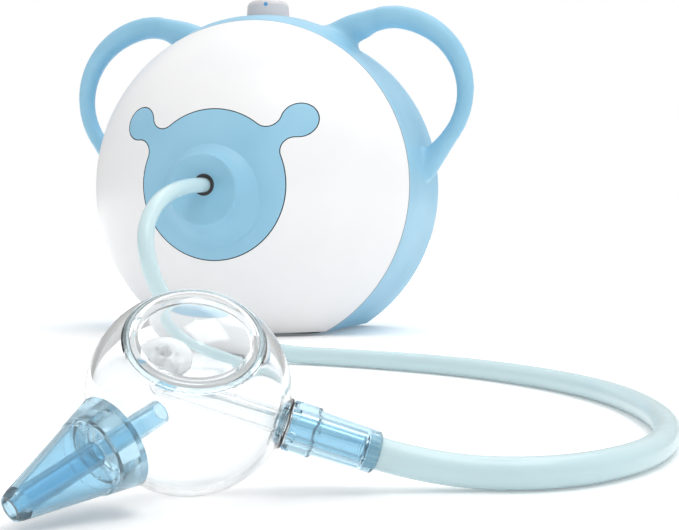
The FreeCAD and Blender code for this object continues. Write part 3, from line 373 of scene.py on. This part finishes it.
def carved(mesh, name, *tools):
    """A mesh joined with or cut by other bmeshes, in order: ("UNION"|"DIFFERENCE", bmesh)."""
    thing = bpy.data.objects.new(name, mesh)
    bpy.context.scene.collection.objects.link(thing)
    helpers = []
    for operation, tool in tools:
        helper = bpy.data.objects.new("tool", smoothed(tool, "tool"))
        bpy.context.scene.collection.objects.link(helper)
        step = thing.modifiers.new("step", "BOOLEAN")
        step.operation, step.object, step.solver = operation, helper, "EXACT"
        helpers.append(helper)
    result = settled(thing)
    for helper in [thing, *helpers]:
        bpy.data.objects.remove(helper)
    shape = bmesh.new()
    shape.from_mesh(result)
    bmesh.ops.remove_doubles(shape, verts=shape.verts, dist=2e-6)
    return smoothed(shape, name)


def rim_radius(y, less=0.0):
    """The drum's radius at a depth, less a wall."""
    return (SEAM_R + REAR_R) / 2 + (REAR_R - SEAM_R) * y / (2 * RIM_Y) - less


def drum(reach, less=0.0):
    """The plain cone of the housing, reaching as far in front of its middle as behind."""
    return turned([(0, -reach), (rim_radius(-reach, less), -reach),
                   (rim_radius(reach, less), reach), (0, reach)], BODY_MIDDLE, BACKWARD, 192)


def eased(share):
    """Smooth step of a share that is kept between 0 and 1."""
    share = min(max(share, 0), 1)
    return share * share * (3 - 2 * share)


def trimmed(shape, plane_at, outward):
    """Cuts away what lies beyond a plane and closes the opening."""
    bmesh.ops.bisect_plane(shape, geom=shape.verts[:] + shape.edges[:] + shape.faces[:], dist=1e-7,
                           plane_co=Vector(plane_at) * MM, plane_no=outward, clear_outer=True)
    bmesh.ops.holes_fill(shape, edges=[e for e in shape.edges if e.is_boundary], sides=0)


def relaxed(shape, vertices, turns):
    """Evens out these vertices by a number of turns."""
    for turn in range(turns):
        bmesh.ops.smooth_vert(shape, verts=vertices, factor=0.5,
                              use_axis_x=True, use_axis_y=True, use_axis_z=True)


def ear_handle():
    """One ear: a round bar bent along its line, thicker where it runs into the crown."""
    bar = bpy.data.curves.new("ear_line", "CURVE")
    bar.dimensions, bar.use_fill_caps, bar.bevel_resolution = "3D", True, 8
    line_points = [(36, 180, 1.2), (46, 184.5, 1.25), (55, 187.6, 1.32), (61.5, 189.2, 1.34),
                   (66, 191.2, 1.16), (72, 192.9, 1.06)]
    for angle in range(84, -31, -6):
        x = EAR_MIDDLE[0] + EAR_WIDE * math.cos(math.radians(angle))
        z = EAR_MIDDLE[1] + EAR_HIGH * math.sin(math.radians(angle))
        line_points.append((x, z, EAR_THIN + EAR_SWELL * min(max((angle + 6) / 70, 0), 1)))
    for reach, thick in ((8, 0.82), (16, 0.96), (24, 1.12), (33, 1.3)):   # the foot widens inwards
        inward = (thick - EAR_THIN) * EAR_TUBE
        line_points.append((x - FOOT_IN * reach - FOOT_DOWN * inward,
                            z - FOOT_DOWN * reach + FOOT_IN * inward, thick))
    path = bar.splines.new("BEZIER")
    path.bezier_points.add(len(line_points) - 1)
    for point, (x, z, thick) in zip(path.bezier_points, line_points):
        point.co, point.radius = Vector((x, EAR_Y, z)) * MM, thick
        point.handle_left_type = point.handle_right_type = "AUTO"
    return drawn(bar, EAR_TUBE)


def crown():
    """Raised sector over the drum that fades out at its two ends, widest at the ears."""
    sector = turned([(90, -30), (100.4, -30), (104.6, -22), (106.6, -11), (107.0, 8), (106.2, 26),
                     (103.8, 32), (90, 32)], BODY_MIDDLE, BACKWARD, 192)
    for vertex in sector.verts:
        out = Vector((vertex.co.x, 0, vertex.co.z - BODY_Z * MM))
        from_top = math.degrees(out.angle(UP))
        end = CROWN_HALF - CROWN_FADE * min(abs(vertex.co.y / MM - EAR_Y) / 30, 1)
        keep = eased((end - from_top) / CROWN_FADE + 0.5)
        under = (rim_radius(vertex.co.y / MM) - 3) * MM
        if out.length > under:
            out *= (under + (out.length - under) * keep) / out.length
            vertex.co = Vector((out.x, vertex.co.y, out.z + BODY_Z * MM))
    return sector


blank = drum(RIM_Y + 5)
for shape in (smoothed(crown(), "crown"), ear_handle()):
    blank.from_mesh(shape)
pedestal = turned([(0, 185), (14.4, 185), (14.4, 194.8), (13.6, 195.6), (0, 195.6)],
                  (0, EAR_Y, 0), UP, 64)
blank.from_mesh(smoothed(pedestal, "pedestal"))
left = ear_handle()
left.transform(Matrix.Scale(-1, 4, (1, 0, 0)))
left.flip_normals()
blank.from_mesh(left)
mass = bpy.data.objects.new("mass", smoothed(blank, "mass"))
bpy.context.scene.collection.objects.link(mass)
grid = mass.modifiers.new("grid", "REMESH")
grid.mode, grid.voxel_size = "VOXEL", 1.25 * MM
body = bmesh.new()
body.from_mesh(settled(mass))
bpy.data.objects.remove(mass)
relaxed(body, body.verts, 5)
upper = [v for v in body.verts if 0.030 < abs(v.co.x) < 0.072 and v.co.z > 0.165]
lower = [v for v in body.verts if 0.088 < abs(v.co.x) < 0.122 and 0.080 < v.co.z < 0.122]
relaxed(body, upper, 24)                   # fillets where the ears leave the crown
relaxed(body, lower, 10)                   # and where they come back to the drum
for vertex in body.verts:                  # the plain drum wall is trued to its cone
    out = Vector((vertex.co.x, 0, vertex.co.z - BODY_Z * MM))
    true = rim_radius(vertex.co.y / MM) * MM
    off = abs(out.length - true)
    if abs(vertex.co.y) < (RIM_Y + 4) * MM and off < 0.9 * MM:
        keep = eased((off / MM - 0.25) / 0.65)
        out *= (true + (out.length - true) * keep) / out.length
        vertex.co = Vector((out.x, vertex.co.y, out.z + BODY_Z * MM))
trimmed(body, (0, -RIM_Y, 0), -BACKWARD)
trimmed(body, (0, RIM_Y, 0), BACKWARD)
trimmed(body, (0, 0, PAD_TOP), -UP)
hollow = drum(RIM_Y + 8, SHELL_WALL)
trimmed(hollow, (0, 0, PAD_TOP + SHELL_WALL), -UP)
shaft_hole = turned([(0, 160), (4.5, 160), (4.5, 230), (0, 230)], (0, EAR_Y, 0), UP, 48)
housing = carved(smoothed(body, "housing"), "housing", ("DIFFERENCE", hollow), ("DIFFERENCE", shaft_hole))
shown("ear_housing", housing, "suction_unit", "blue_shell", blue_abs,
      "rim_housing", "ear_handles")
coated("rear_cover", blue_abs)

# ---- Rubber parts ------------------------------------------------------------------
# Black moulded rubber, dull and faintly dusty: the seal in the nose that grips the
# hose, the pad pegged under the base, the motor's two mounts and the inlet's grommet.
rubber, place, shader = finish("black_rubber", Sheen_Weight=0.15)
feed(shader,
     Base_Color=place.blend(place.noise(0.01, 4.0), (0.016, 0.016, 0.018, 1), (0.035, 0.035, 0.038, 1)),
     Roughness=0.5 + 0.3 * place.noise(0.003),
     Normal=bumped(place, place.noise(0.0004, 4.0), 0.00006))
for node in ("nose_seal", "base_pad", "front_mount", "rear_mount", "inlet_grommet"):
    coated(node, rubber)

# ---- Speed knob --------------------------------------------------------------------
# Silver-grey cap moulded in ABS and pushed on the dial's shaft. A small mark filled
# with blue paint shows how far it is turned.
knob_abs = moulded("knob_grey", (0.66, 0.645, 0.66, 1), (0.60, 0.585, 0.605, 1),
                   0.34, 0.0004, 0.00001, Coat_Weight=0.15)
coated("control_knob", knob_abs)
mark_paint = moulded("knob_mark_blue", (0.10, 0.36, 0.66, 1), (0.08, 0.30, 0.58, 1),
                     0.3, 0.0003, 0.00001)
coated("knob_mark", mark_paint)

# ---- Clear collector bowl -----------------------------------------------------------
# Clear polycarbonate ball with a moulded port for the nozzle and a neck for the pipe.
# A clear lid closes it on a tinted ring. The axes of nozzle, hose and lid meet in the
# ball's middle.
BALL = Vector((135.4, -460.1, 24.4))
NOZZLE_AXIS = Vector((-0.437, -0.817, -0.376)).normalized()
HOSE_AXIS = Vector((0.880, 0.347, -0.323)).normalized()
LID_AXIS = Vector((0.3135, -0.5755, 0.7553)).normalized()
BALL_R, BALL_WALL, LID_H = 24.35, 1.6, 17.85


def arc(centre, radius, start, end, count):
    """Points of a rounded corner, angles in degrees from the radius direction."""
    angles = [math.radians(start + (end - start) * k / count) for k in range(count + 1)]
    return [(centre[0] + radius * math.cos(a), centre[1] + radius * math.sin(a)) for a in angles]


def clear_finish(name, tint, haze, **constants):
    """See-through plastic with faint haze, wipe marks and flow lines."""
    material, place, shader = finish(name, **constants)
    feed(shader,
         Base_Color=place.blend(place.noise(0.02), tint, tuple(c * 0.985 for c in tint[:3]) + (1,)),
         Roughness=haze * (0.5 + place.noise(0.008, 3.0)),
         Normal=bumped(place, place.noise(0.012, 1.0), 0.00005))
    return material


clear_pc = clear_finish("clear_polycarbonate", (0.97, 0.985, 0.99, 1), 0.03,
                        Transmission_Weight=1.0, IOR=1.49)


def ball_points(radius, top):
    """Outline of a ball from its lowest point up to a height along the lid axis."""
    last = math.degrees(math.asin(top / radius))
    return [(0, -radius)] + arc((0, 0), radius, -87, last, 40)


bowl = smoothed(turned([*ball_points(BALL_R, LID_H), (0, LID_H)], BALL, LID_AXIS, 128), "bowl")
bowl = carved(
    bowl, "collector_bowl",
    ("UNION", turned([(0, 15), (8.4, 15), (8.4, 28.6), (8.0, 29), (0, 29)], BALL, NOZZLE_AXIS)),
    ("UNION", turned([(0, 15), (8.4, 22.2), (7.1, 23.0), (6.4, 23.7), (6.2, 24.3), (0, 24.3)],
                     BALL, HOSE_AXIS)),
    ("DIFFERENCE", turned([*ball_points(BALL_R - BALL_WALL, LID_H + 0.4), (0, LID_H + 0.4)],
                          BALL, LID_AXIS, 128)),
    ("DIFFERENCE", turned([(0, 10), (7, 10), (7, 32), (0, 32)], BALL, NOZZLE_AXIS)),
    ("DIFFERENCE", turned([(0, 10), (3.1, 10), (3.1, 40), (0, 40)], BALL, HOSE_AXIS, 48)))
ball = shown("clear_bowl", bowl, "collector", "clear_plastic", clear_pc, "collector_bowl")
for node in ("suction_pipe", "bowl_lid"):
    coated(node, clear_pc)
for clear in (ball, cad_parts["bowl_lid"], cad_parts["lid_gasket"]):
    clear.visible_shadow = False         # light passes through clear walls
gasket = clear_finish("tinted_gasket", (0.80, 0.93, 0.97, 1), 0.15,
                      Transmission_Weight=0.95, IOR=1.41)
coated("lid_gasket", gasket)

# ---- Nozzle and hose connector --------------------------------------------------------
# Both are moulded in translucent light-blue polypropylene. The nozzle pushes on the
# bowl's port by hand, and the connector joins the hose to the suction pipe.
blue_clear = clear_finish("translucent_blue", (0.60, 0.85, 0.98, 1), 0.08,
                          Transmission_Weight=0.92, IOR=1.45)
for node in ("nozzle", "hose_connector"):
    coated(node, blue_clear)

# ---- Baffle cap and other natural-coloured mouldings -----------------------------------
# The cap over the pipe's end is milky and lets some light through. The nipple, filter
# parts, intake tube and terminal block inside are left in the plastic's own off-white.
cap_plastic = moulded("milky_plastic", (0.93, 0.94, 0.95, 1), (0.90, 0.92, 0.93, 1),
                      0.18, 0.0005, 0.00001, Transmission_Weight=0.65, IOR=1.45)
coated("baffle_cap", cap_plastic)
natural = moulded("natural_plastic", (0.82, 0.83, 0.83, 1), (0.76, 0.77, 0.78, 1),
                  0.4, 0.0005, 0.00002, Transmission_Weight=0.15)
for node in ("inlet_nipple", "filter_housing", "filter_cap", "intake_tube", "terminal_block"):
    coated(node, natural)

# ---- Motor, fan and dial metals ------------------------------------------------------
# Turned and stamped steel, cast aluminium, brass and copper, each with its own grain.
def metal(name, light, dark, rough, along, grain_depth):
    """Bare metal with drawn or turned grain: along is the grain's direction, 0, 1 or 2."""
    material, place, shader = finish(name, Metallic=1.0)
    stretch = [1.0, 1.0, 1.0]
    stretch[along] = 0.04
    drawn_out = place.node("VectorMath", {0: place, 1: stretch}, operation="MULTIPLY")
    lines = drawn_out.noise(0.0005, 4.0, 0.7)
    stain = place.noise(0.008, 3.0)
    feed(shader,
         Base_Color=place.blend(place.between(0.35, 0.7, stain), light, dark),
         Roughness=rough + 0.22 * lines - 0.08 * stain,
         Normal=bumped(place, lines, grain_depth))
    return material


zinc = metal("zinc_plated_steel", (0.62, 0.63, 0.66, 1), (0.50, 0.51, 0.55, 1), 0.26, 1, 0.00002)
for node in ("cover_screws", "chassis_screws", "shell_screws", "board_screws", "impeller_nut",
             "motor_shaft", "motor_bearings", "potentiometer"):
    coated(node, zinc)
cast = metal("cast_aluminium", (0.66, 0.67, 0.69, 1), (0.54, 0.55, 0.57, 1), 0.42, 2, 0.00005)
for node in ("fan_housing", "diffuser_plate", "impeller", "motor_frame", "heatsink"):
    coated(node, cast)
brass = metal("turned_brass", (0.80, 0.60, 0.26, 1), (0.66, 0.47, 0.20, 1), 0.24, 1, 0.00002)
for node in ("brush_holders", "inlet_pins", "dial_nut", "dial_shaft", "fuse_link"):
    coated(node, brass)

# ---- Laminations and windings -----------------------------------------------------------
# Cores are stacks of stamped steel sheets along the shaft, so their edges show as
# fine lines. The coils are wound from lacquered copper wire.
sheets, place, shader = finish("lamination_stack", Metallic=0.9)
edge = place.math("SINE", place.part(1) * (math.tau / 0.0007))
feed(shader,
     Base_Color=place.blend(0.5 + 0.5 * edge, (0.16, 0.17, 0.18, 1), (0.36, 0.37, 0.39, 1)),
     Roughness=0.45 + 0.15 * place.noise(0.002),
     Normal=bumped(place, edge, 0.00005))
for node in ("armature_core", "stator_core"):
    coated(node, sheets)
wire, place, shader = finish("enamelled_copper", Metallic=0.85, Coat_Weight=0.5, Coat_Roughness=0.15)
across = (place.part(0) + place.part(2)) * (math.tau / 0.0009)
lay = place.math("SINE", across + 3.0 * place.noise(0.004))
feed(shader,
     Base_Color=place.blend(0.5 + 0.5 * lay, (0.34, 0.12, 0.045, 1), (0.78, 0.36, 0.14, 1)),
     Roughness=0.28 + 0.12 * place.noise(0.003),
     Normal=bumped(place, lay, 0.00012))
for node in ("armature_windings", "field_coils", "commutator", "mains_choke"):
    coated(node, wire)

# ---- Brushes, foam and felt ----------------------------------------------------------------
# Two pressed carbon brushes, a block of open-cell foam that quiets the outlet, and a
# felt disc in the filter housing.
carbon, place, shader = finish("pressed_carbon")
feed(shader,
     Base_Color=place.blend(place.noise(0.0008, 4.0), (0.012, 0.012, 0.013, 1), (0.07, 0.07, 0.075, 1)),
     Roughness=0.5 + 0.3 * place.noise(0.001),
     Normal=bumped(place, place.noise(0.0004, 5.0), 0.00005))
coated("carbon_brushes", carbon)
foam, place, shader = finish("open_cell_foam")
cells = place.node("TexVoronoi", {"Vector": place, "Scale": 700.0}, out=0)
feed(shader,
     Base_Color=place.blend(place.between(0.1, 0.6, cells),
                            (0.02, 0.021, 0.024, 1), (0.10, 0.105, 0.115, 1)),
     Roughness=0.85 + 0.1 * cells,
     Normal=bumped(place, cells, 0.0006))
coated("muffler_foam", foam)
felt, place, shader = finish("filter_felt", Sheen_Weight=0.4)
fibres = place.noise(0.0004, 6.0, 0.8)
feed(shader,
     Base_Color=place.blend(fibres, (0.68, 0.68, 0.64, 1), (0.88, 0.88, 0.85, 1)),
     Roughness=0.8 + 0.15 * fibres,
     Normal=bumped(place, fibres, 0.0003))
coated("filter_disc", felt)

# ---- Circuit board and its parts -------------------------------------------------------------
# Green glass-fibre board with copper runs under the lacquer, and moulded components
# soldered to it. The grey plate and bracket carry the works, and the leads are sheathed.
board, place, shader = finish("circuit_board", Coat_Weight=0.4, Coat_Roughness=0.12)
runs = place.node("TexBrick", {"Vector": place, "Scale": 1.0,
                               "Brick Width": 0.011, "Row Height": 0.0032,
                               "Mortar Size": 0.0004, "Mortar Smooth": 0.2}, out=1)
feed(shader,
     Base_Color=place.blend(runs, (0.015, 0.13, 0.055, 1), (0.05, 0.26, 0.11, 1)),
     Roughness=0.3 + 0.1 * place.noise(0.004),
     Normal=bumped(place, runs, 0.00004))
coated("circuit_board", board)
case_yellow = moulded("film_case_yellow", (0.80, 0.56, 0.08, 1), (0.70, 0.47, 0.06, 1),
                      0.3, 0.0004, 0.00001, Coat_Weight=0.3)
coated("film_capacitor", case_yellow)
case_black = moulded("black_moulding", (0.022, 0.022, 0.025, 1), (0.035, 0.035, 0.038, 1),
                     0.45, 0.0004, 0.00003)
for node in ("triac", "inlet_socket"):
    coated(node, case_black)
grey_abs = moulded("grey_moulding", (0.42, 0.43, 0.45, 1), (0.36, 0.37, 0.39, 1),
                   0.45, 0.0006, 0.00002)
for node in ("chassis_plate", "dial_bracket"):
    coated(node, grey_abs)
sheath = moulded("wire_sheath", (0.06, 0.12, 0.32, 1), (0.04, 0.09, 0.26, 1), 0.4, 0.0003, 0.00001)
for node in ("mains_leads", "motor_leads"):
    coated(node, sheath)
